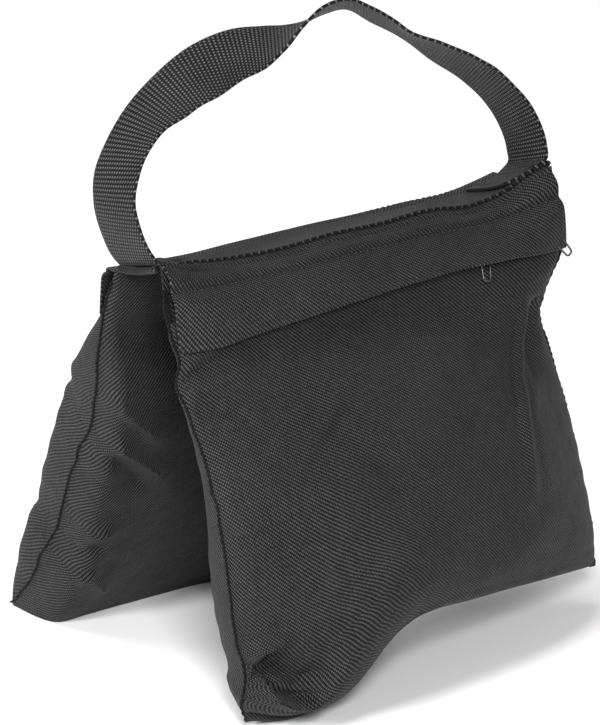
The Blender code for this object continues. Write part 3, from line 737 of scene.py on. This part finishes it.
rear_outer_folds = [
    ([(-0.1395, 1.30), (-0.1370, 1.27), (-0.130, 1.22)], 0.0045, -0.0030),
    ([(-0.1395, 1.36), (-0.1360, 1.33), (-0.126, 1.30)], 0.0045, 0.0024),
    ([(-0.1395, 1.63), (-0.1360, 1.61), (-0.124, 1.60)], 0.0045, -0.0032),
    ([(-0.060, 1.3), (0.000, 1.5), (0.060, 1.6)], 0.030, -0.0030),
]
rear_inner_folds = [
    ([(-0.1393, 1.310), (-0.1333, 1.304), (-0.119, 1.343), (-0.103, 1.391), (-0.084, 1.466)], 0.0050, 0.0052),
    ([(-0.1393, 1.335), (-0.131, 1.350), (-0.117, 1.400), (-0.102, 1.450)], 0.0055, -0.0045),
    ([(-0.1386, 1.175), (-0.1342, 1.205), (-0.1157, 1.265), (-0.098, 1.330)], 0.0055, 0.0044),
    ([(-0.1380, 1.215), (-0.130, 1.245), (-0.112, 1.300)], 0.0050, -0.0030),
    ([(-0.1398, 1.584), (-0.1381, 1.545), (-0.135, 1.539), (-0.128, 1.530), (-0.116, 1.54)], 0.0034, 0.0046),
    ([(-0.1395, 1.600), (-0.134, 1.580), (-0.122, 1.575)], 0.0040, -0.0044),
    ([(-0.1376, 1.670), (-0.1294, 1.653), (-0.1173, 1.700), (-0.106, 1.760)], 0.0070, 0.0050),
]

pouch_shapes = {
    "front": {
        "run": (
            (0.034, 0.056, 0.071, 0.081, 0.076),
            (0.030, 0.046, 0.063, 0.075, 0.076),
            (0.026, 0.038, 0.053, 0.064, 0.070),
            (0.020, 0.027, 0.040, 0.048, 0.052),
            (0.008, 0.010, 0.028, 0.038, 0.041),
        ),
        "lift": (0.004, 0.0015, 0.0075, 0.019, 0.031, 0.038, 0.039, 0.034, 0.028, 0.022),
        "outer_belly": (0.0031, 0.0060, 0.0150, 0.0260, 0.0350, 0.0380, 0.0350, 0.0270, 0.0190, 0.0),
        "inner_belly": (0.0080, 0.0100, 0.0160, 0.0240, 0.0300, 0.0310, 0.0290, 0.0230, 0.0160, 0.0),
        "outer_ends": (3.2, 2.6),
        "inner_ends": (26.0, 4.4),
        "outer_folds": front_outer_folds,
        "inner_folds": front_inner_folds,
        "right_drawn_in": (
            (0.9, 1.0, 1.07, 1.13, 1.2, 1.3, 1.45, 1.6, 1.8, 2.0),
            (0, 0.002, 0.010, 0.015, 0.013, 0.006, -0.001, -0.001, -0.002, -0.003),
        ),
        "left_drawn_in": (
            (0.9, 1.0, 1.045, 1.083, 1.13, 1.6, 1.75, 1.88, 2.0),
            (0, 0, 0.0020, -0.0025, 0, 0, 0.0010, -0.001, 0.006),
        ),
    },
    "rear": {
        "run": (
            (0.020, 0.040, 0.066, 0.088, 0.110),
            (0.022, 0.041, 0.065, 0.086, 0.108),
            (0.024, 0.042, 0.064, 0.084, 0.106),
            (0.024, 0.042, 0.064, 0.083, 0.103),
            (0.024, 0.042, 0.064, 0.082, 0.100),
        ),
        "lift": (0.001, 0.0, 0.0, 0.0, 0.0, 0.0, 0.0, 0.0, 0.0, 0.001),
        "outer_belly": (0.0031, 0.0140, 0.0310, 0.0345, 0.0330, 0.0280, 0.0230, 0.0150, 0.0100, 0.0),
        "inner_belly": (0.0080, 0.0100, 0.0160, 0.0240, 0.0300, 0.0310, 0.0300, 0.0270, 0.0230, 0.0),
        "outer_ends": (60.0, 8.0),
        "inner_ends": (50.0, 4.4),
        "outer_folds": rear_outer_folds,
        "inner_folds": rear_inner_folds,
        "right_drawn_in": ((0.9, 2.0), (0, 0)),
        "left_drawn_in": ((0.9, 1.2, 1.31, 1.4, 1.52, 1.60, 1.68, 2.0), (0, 0, 0.002, 0, 0, 0.002, 0, 0)),
    },
}


def fold_ends(side):
    """Where the cloth of a pouch leaves the strip, and where it hangs free of it."""
    fold = Vector(middle) + Vector((0, side * (half_strip + fold_reach), fold_height))
    slope = Vector((0, side * math.sin(top_slope), -math.cos(top_slope)))
    return fold - 0.004 * slope, fold + 0.008 * slope


pouch_grids = {}
for label, side, seed in (("front", -1, 11), ("rear", 1, 23)):
    outer, inner, seam = lay_pouch(side, pouch_shapes[label], seed)
    pouch_grids[label] = (outer, inner, seam)
    pouch = sew_pouch(label + "_pouch_piece", outer, inner, black_cloth)
    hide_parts(label + "_pouch_cloth", label + "_sand_fill")
    start, end = fold_ends(side)
    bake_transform(pouch)

# ---------------------------------------------------------------- side seams
# The two sides of a pouch are joined at each end by a seam turned outwards: both edges and a strip of
# the cloth round them, sewn through, which makes a narrow stiff ridge that puckers as it is pulled.
# The seams wear a much darker copy of the cloth: painted shade for the dark line along each seam's fold.
shaded_seam_cloth = make_cloth_finish("shaded_seam_cloth", (0.0003, 0.0003, 0.0003), (0.013, 0.013, 0.0134))
for label, side in (("front", -1), ("rear", 1)):
    seam_line = pouch_grids[label][2]
    for end_label, column, end in (("left", 0, -1), ("right", -1, 1)):
        line = seam_line[2:, column].copy()
        line[:, 2] = np.maximum(line[:, 2], 0.0013)
        run = np.concatenate([[0], np.cumsum(np.linalg.norm(np.diff(line, axis=0), axis=1))])
        even = np.linspace(0, run[-1], 240)
        line = np.stack([np.interp(even, run, line[:, k]) for k in range(3)], 1)
        way = unit(np.gradient(line, axis=0))
        outwards = np.array([float(end), 0.0, 0.0])
        pucker = 0.0008 * rumple(even, even * 0, 0.009, 31 + column)
        serration = np.sin(2 * math.pi * even / 0.0046 + 4 * rumple(even, even * 0, 0.02, 7))
        serration = 0.0003 * serration[:, None]
        ridge = []
        for share in np.linspace(-1, 1, 5):
            reach = 0.0020 * share - 0.0010
            off = outwards * (reach + serration * (share + 1) / 2)
            ridge.append(line + off + np.cross(way, outwards) * (pucker * (share + 1))[:, None])
        ridge = np.array(ridge)
        uvs = np.stack(np.broadcast_arrays(even[None] * 1.0, np.linspace(0, 0.005, 5)[:, None]), axis=2)
        fin = thick_sheet(f"{label}_{end_label}_seam_piece", ridge, 0.0012, shaded_seam_cloth, uvs=uvs)
        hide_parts(f"{label}_{end_label}_seam")
        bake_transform(fin)

# ---------------------------------------------------------------- storm flaps
# A doubled strip of the cloth covers each zip. Its top edge turns over the edge of the strip, a row of
# stitches 12 mm down holds it, and below them it stands off the zip and bows up in the middle.
flap_places = [-0.1385, -0.118, -0.100, -0.052, 0.003, 0.048, 0.085, 0.115, 0.1385]
front_flap_out = [0.0180, 0.0262, 0.0270, 0.0270, 0.0273, 0.0280, 0.0284, 0.0235, 0.0158]
front_flap_height = [0.2125, 0.2140, 0.2160, 0.2190, 0.2225, 0.2245, 0.2235, 0.2195, 0.2160]
rear_flap_out = [0.0175, 0.0240, 0.0262, 0.0266, 0.0260, 0.0250, 0.0240, 0.0205, 0.0160]
rear_flap_height = [0.2120, 0.2120, 0.2130, 0.2140, 0.2150, 0.2150, 0.2140, 0.2130, 0.2130]
front_flap_folds = [
    ([(-0.139, 0.030), (-0.122, 0.052), (-0.096, 0.068)], 0.0026, -0.0024),
    ([(-0.136, 0.012), (-0.116, 0.036), (-0.090, 0.050)], 0.0026, 0.0016),
    ([(-0.036, 0.024), (-0.020, 0.058), (-0.006, 0.074)], 0.0030, 0.0018),
    ([(0.086, 0.060), (0.104, 0.046), (0.132, 0.018)], 0.0030, -0.0022),
    ([(-0.137, 0.112), (-0.115, 0.140), (-0.080, 0.150)], 0.0060, 0.0012),
    ([(0.020, 0.186), (0.034, 0.150), (0.046, 0.120)], 0.0050, 0.0012),
]
stitch_row = 16


def flap_grid(side, outs, heights, seed):
    x = np.linspace(-0.1385, 0.1385, 200)
    out, height = through(flap_places, outs, x), through(flap_places, heights, x)
    lift = edge_lift(x, side)
    crest = strip_top + lift
    stand = np.clip(1 - np.abs(x / half_bag) ** 14, 0, 1)
    drag = lift * (0.35 if side < 0 else 0.42)
    stitch_out = (0.0090 if side < 0 else 0.0112) + 0.0003 * rumple(x, x * 0, 0.030, seed)
    stitch_height = 0.2417 + drag + 0.0006 * rumple(x, x * 0, 0.045, seed + 1)
    knee_out = (0.0126 if side < 0 else 0.0146) + 0.0034 * stand + 0.0007 * rumple(x, x * 0, 0.040, seed + 2)
    hang = np.stack([out, height], 1)
    knee = np.stack([knee_out, stitch_height - 0.0042], 1)
    belly = 0.55 * knee + 0.45 * hang
    belly[:, 0] += 0.0018 * stand + 0.0009 * rumple(x, x * 0, 0.050, seed + 3)
    route = [
        np.stack([-0.0080 + 0.0008 * rumple(x, x * 0, 0.050, seed + 6), crest - 0.0016], 1),
        np.stack([-0.0030 + 0.0006 * rumple(x, x * 0, 0.030, seed + 7), crest - 0.0010], 1),
        np.stack([0.0014 + 0.0006 * rumple(x, x * 0, 0.035, seed + 4), crest - 0.0030], 1),
        np.stack([stitch_out - 0.0012, (crest - 0.0045 + stitch_height + 0.0030) / 2], 1),
        np.stack([stitch_out, stitch_height], 1),
        knee,
        belly,
        hang,
    ]
    shares = [0, 1, 2, 3, 4, 5, 6.2, 8]
    rows = np.concatenate([np.linspace(0, 4, stitch_row + 1), np.linspace(4, 8, 26)[1:]])
    surface = through(shares, np.array(route), rows)
    sag = 0.0007 * rumple(x[None, :], rows[:, None] * 0.006, 0.022, seed + 5)
    if side < 0:
        sag = sag + creased(x[None, :], rows[:, None] * 0.024, front_flap_folds)
    y = side * (half_strip + fold_reach + surface[..., 0] + sag)
    return np.stack([np.broadcast_to(x, y.shape), y, surface[..., 1]], axis=-1)


def along_row(places, row_places, values):
    return np.stack([np.interp(places, row_places, values[:, k]) for k in range(3)], 1)


stitch_pitch, stitch_length = 0.0042, 0.0029
for label, side, outs, heights, seed in (
    ("front", -1, front_flap_out, front_flap_height, 41),
    ("rear", 1, rear_flap_out, rear_flap_height, 53),
):
    grid = flap_grid(side, outs, heights, seed)
    normals = facing(grid)
    if (normals[20, 100] @ np.array([0, side, 0.3])) < 0:
        normals = -normals
    down = lengths_of(grid)[1]
    uvs = np.stack([grid[..., 0], np.broadcast_to(down.mean(axis=1, keepdims=True), down.shape)], axis=2)
    pinch = 1 - 0.45 * np.exp(-(((np.arange(grid.shape[0]) - stitch_row) / 1.6) ** 2))
    thickness = np.broadcast_to((0.0016 * pinch)[:, None], grid.shape[:2])
    top, below = slice(0, stitch_row + 1), slice(stitch_row, None)
    heading = thick_sheet(
        label + "_flap_top_piece", grid[top], thickness[top], black_cloth, uvs[top], normals[top]
    )
    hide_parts(label + "_flap_heading", label + "_zip_facing")
    start, end = fold_ends(side)
    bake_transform(heading)
    flap = thick_sheet(
        label + "_flap_piece", grid[below], thickness[below], black_cloth, uvs[below], normals[below]
    )
    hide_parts(label + "_flap")
    hinge = Vector(middle) + Vector((0, side * (half_strip + fold_reach + 0.0083), 0.2417))
    down_way = Vector((0, side * 0.35, -0.94))
    start, end = hinge - 0.001 * down_way, hinge + 0.006 * down_way
    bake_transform(flap)
    stitch_line = grid[stitch_row] + normals[stitch_row] * thread_width
    run = np.arange(-0.132, 0.1325, stitch_pitch)
    starts = along_row(run, grid[stitch_row, :, 0], stitch_line)
    ends = along_row(run + stitch_length, grid[stitch_row, :, 0], stitch_line)
    ups = along_row(run, grid[stitch_row, :, 0], normals[stitch_row])
    stitches = lay_stitches(label + "_flap_stitches", starts, ends, unit(ups), thread_width)
    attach(stitches, label + "_pouch")

# ---------------------------------------------------------------- zips
# Under each flap runs a nylon coil zip: two woven tapes, and on their edges two coils whose turns lock.
# A metal staple stops the sliders at each end.
tape_finish = make_cloth_finish("zip_tape_cloth", (0.008, 0.008, 0.009), (0.036, 0.036, 0.038))
coil_finish, coil_shader = new_finish("black_nylon_coil", (0.022, 0.022, 0.024), 0.30)
coil_grain = noise(coil_finish, None, 900.0, 2.0)
shade_by(coil_finish, coil_shader, coil_grain, (0.012, 0.012, 0.013), (0.050, 0.050, 0.053))
use_height(coil_finish, coil_shader, coil_grain, 0.25, 0.0002)
metal_finish, metal_shader = new_finish("blackened_metal", (0.11, 0.11, 0.115), 0.28, 0.85)
metal_grain = noise(metal_finish, None, 700.0, 4.0)
scratches = noise(metal_finish, None, 160.0, 6.0, 0.7)
shade_by(metal_finish, metal_shader, scratches, (0.020, 0.020, 0.021), (0.17, 0.17, 0.176))
metal_rough = calc(metal_finish, "MULTIPLY_ADD", metal_grain, 0.25, 0.18)
metal_finish.node_tree.links.new(metal_rough, metal_shader.inputs["Roughness"])
use_height(metal_finish, metal_shader, metal_grain, 0.12, 0.0002)


def zone_point(side, x, length, rise):
    """A point over a pouch's zip zone, by its distance down from the fold line."""
    x, length, rise = np.broadcast_arrays(np.asarray(x, float), length, rise)
    out = length * math.sin(top_slope) + rise * math.cos(top_slope)
    up = rise * math.sin(top_slope) - length * math.cos(top_slope)
    lift = edge_lift(x, side) * (1 - ease(0.0, 0.55 if side < 0 else 1.6, length / zip_zone))
    return np.stack([x, side * (half_strip + fold_reach + out), fold_height + up + lift], axis=-1)


def tube(name, line, radius, finish, ring=6, closed=False):
    """A round wire along a line of points."""
    line = np.asarray(line, float)
    if closed:
        way = unit(np.roll(line, -1, axis=0) - np.roll(line, 1, axis=0))
    else:
        way = unit(np.gradient(line, axis=0))
    spin = np.array([0.31, 0.17, 0.93])
    side = unit(np.cross(way, spin))
    other = np.cross(way, side)
    turns = np.linspace(0, 2 * math.pi, ring, endpoint=False)
    circles = np.cos(turns)[None, :, None] * side[:, None] + np.sin(turns)[None, :, None] * other[:, None]
    points = line[:, None] + circles * np.broadcast_to(radius, len(line))[:, None, None]
    count = len(line)
    faces, uvs = [], []
    for k in range(count if closed else count - 1):
        for i in range(ring):
            j, n = (i + 1) % ring, (k + 1) % count
            faces.append((k * ring + i, k * ring + j, n * ring + j, n * ring + i))
            uvs += [(s * 0.001, t * 0.001) for s, t in ((k, i), (k, i + 1), (k + 1, i + 1), (k + 1, i))]
    if not closed:
        faces.append(tuple(range(ring))[::-1])
        faces.append(tuple((count - 1) * ring + i for i in range(ring)))
        uvs += [(0, 0)] * (2 * ring)
    return make_piece(name, points.reshape(-1, 3), faces, uvs, finish)


for label, side in (("front", -1), ("rear", 1)):
    reach = half_bag - 0.010
    for name, away in (("upper", -1), ("lower", 1)):
        edge = zip_line + away * 0.0030
        lengths = np.linspace(edge, edge + away * 0.0120, 5)
        x = np.linspace(-reach, reach, 160)
        tape_grid = zone_point(side, x[None, :], lengths[:, None], 0.0015)
        tape = thick_sheet(f"{label}_{name}_tape", tape_grid, 0.0006, tape_finish)
        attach(tape, label + "_pouch")
        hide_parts(f"{label}_zip_{name}_tape")
        turns = 200
        t = np.arange(turns * 9) / 9
        spin = 2 * math.pi * t
        length = zip_line + away * (0.0013 - 0.0014 * np.cos(spin))
        rise = 0.0019 + 0.0007 * np.sin(spin)
        xs = -reach + 0.001 + (2 * reach - 0.002) * (t + (0.5 if away > 0 else 0.0)) / (turns + 0.5)
        coil = tube(f"{label}_{name}_coil", zone_point(side, xs, length, rise), 0.00032, coil_finish, 5)
        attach(coil, label + "_pouch")
        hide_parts(f"{label}_zip_{name}_coil")
    for name, end in (("left", -1), ("right", 1)):
        angle = np.linspace(0, 2 * math.pi, 24, endpoint=False)
        lengths = zip_line + 0.0030 * np.cos(angle)
        rises = 0.0019 + 0.0013 * np.sin(angle)
        x = end * (reach + 0.0018) + 0 * angle
        hoop = zone_point(side, x, lengths, rises)
        staple = tube(f"{label}_{name}_stop", hoop, 0.0007, metal_finish, 8, True)
        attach(staple, label + "_pouch")
        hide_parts(f"{label}_zip_{name}_stop")

# ---------------------------------------------------------------- sliders and pulls
# Two blackened sliders run on each zip. Each has a bridge bent up over it, and a long ring of wire,
# closed round one foot of the bridge, hangs below the flap as the pull.


def soften(piece, width, segments=2):
    """Rounds the edges of a hard piece."""
    bevel = piece.modifiers.new("round", "BEVEL")
    bevel.width = width
    bevel.segments = segments
    bevel.limit_method = "ANGLE"
    bpy.context.view_layer.objects.active = piece
    bpy.ops.object.modifier_apply(modifier=bevel.name)
    piece.data.shade_smooth()
    piece.data.set_sharp_from_angle(angle=math.radians(50))


def plate_piece(name, outline, low, high, to_place, finish):
    """A flat plate with a given outline, between two rises."""
    n = len(outline)
    points = [to_place(u, v, low) for u, v in outline] + [to_place(u, v, high) for u, v in outline]
    faces = [tuple(range(n))[::-1], tuple(range(n, 2 * n))]
    faces += [(i, (i + 1) % n, n + (i + 1) % n, n + i) for i in range(n)]
    uvs = [(0, 0)] * (2 * n + 4 * n)
    return make_piece(name, np.array(points), faces, uvs, finish)


def join(name, pieces):
    bpy.ops.object.select_all(action="DESELECT")
    for piece in pieces:
        piece.select_set(True)
    bpy.context.view_layer.objects.active = pieces[0]
    bpy.ops.object.join()
    pieces[0].name = name
    pieces[0].data.name = name
    return pieces[0]


plate_half = [(-1, 0.62), (-0.55, 1), (0.35, 0.92), (1, 0.45)]
plate_corners = [(u, -v) for u, v in plate_half] + plate_half[::-1]
for label, side in (("front", -1), ("rear", 1)):
    for number in (1, 2):
        low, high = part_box(f"{label}_slider_{number}")
        x = (low.x + high.x) / 2 - middle[0]
        nose = -side

        def on_zip(u, v, rise, x=x, side=side):
            out = v * math.sin(top_slope) + rise * math.cos(top_slope)
            up = rise * math.sin(top_slope) - v * math.cos(top_slope)
            return np.array([x + u, side * (half_strip + fold_reach + out), fold_height + up])

        outline = [(nose * u * 0.0052, zip_line + v * 0.0047) for u, v in plate_corners]
        if nose < 0:
            outline.reverse()
        top = plate_piece("top", outline, 0.0032, 0.0041, on_zip, metal_finish)
        under = plate_piece("under", outline, -0.0003, 0.0006, on_zip, metal_finish)
        neck_corners = ((0.0016, -0.0003), (0.0046, -0.0003), (0.0046, 0.0003), (0.0016, 0.0003))
        neck_outline = [(nose * u, zip_line + v) for u, v in neck_corners]
        neck = plate_piece("neck", neck_outline, 0.0002, 0.0036, on_zip, metal_finish)
        for piece in (top, under, neck):
            soften(piece, 0.00025)
        arc = np.linspace(0, 1, 17)
        rises = 0.0036 + 0.0027 * np.sin(math.pi * arc) ** 0.35
        arch = [on_zip((s - 0.5) * 0.0062, zip_line, rise) for s, rise in zip(arc, rises)]
        bridge = tube("bridge", arch, 0.00055, metal_finish, 8)
        slider = join(f"{label}_slider_piece_{number}", [top, under, neck, bridge])
        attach(slider, f"{label}_slider_{number}")
        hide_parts(f"{label}_slider_{number}")

        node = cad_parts[f"{label}_pull_{number}"]
        corners = np.array([v.co for v in node.data.vertices]) - middle
        centre = corners.mean(axis=0)
        spread = np.linalg.svd(corners - centre, full_matrices=False)[2]
        down = spread[0] if spread[0][2] < 0 else -spread[0]
        across = spread[1]
        reach = np.abs((corners - centre) @ down).max()
        half = np.abs((corners - centre) @ across).max()
        wire = 0.00062
        line = []
        for turn in np.linspace(0, 2 * math.pi, 56, endpoint=False):
            c, s = math.cos(turn), math.sin(turn)
            width = (half - wire) * math.copysign(abs(c) ** 0.75, c)
            tall = (reach - half) * math.copysign(min(1.0, abs(s) * 1.35), s) + (half - wire) * s
            line.append(centre + across * width + down * tall)
        ring = tube("ring", line, wire, metal_finish, 10, True)
        eye = centre - down * (reach - half * 0.9)
        clip_line = [eye - across * (half - wire), eye + across * (half - wire)]
        clip = tube("clip", np.linspace(clip_line[0], clip_line[1], 8), 0.0006, metal_finish, 10)
        pull = join(f"{label}_pull_piece_{number}", [ring, clip])
        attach(pull, f"{label}_pull_{number}")
        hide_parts(f"{label}_pull_{number}")
